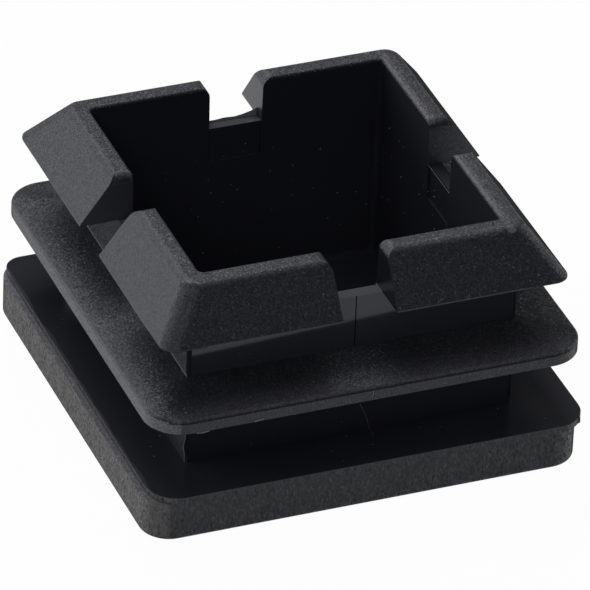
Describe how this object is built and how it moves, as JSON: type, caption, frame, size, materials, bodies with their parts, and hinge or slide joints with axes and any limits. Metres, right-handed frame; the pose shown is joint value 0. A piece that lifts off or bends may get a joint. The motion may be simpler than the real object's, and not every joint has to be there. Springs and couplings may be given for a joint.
{
  "type": "tube end cap",
  "caption": "Square push-in end cap for square tube: a flat head and a hollow insert with a flexible fin and a slotted wedge lip.",
  "frame": {"origin": "middle of the bounding box on the head's outer face, on which the cap stands", "axes": "+Z from the outer face up along the insert, X and Y square to the sides, -Y towards the front side of the picture"},
  "size_m": [0.0404, 0.0402, 0.0227],
  "materials": {
    "black_plastic": "black injection-moulded plastic, fine spark-eroded texture on the head's sides, the fin and the lip, smooth on the walls and inside"
  },
  "bodies": {
    "root": {"end_cap": "black_plastic"}
  },
  "joints": []
}
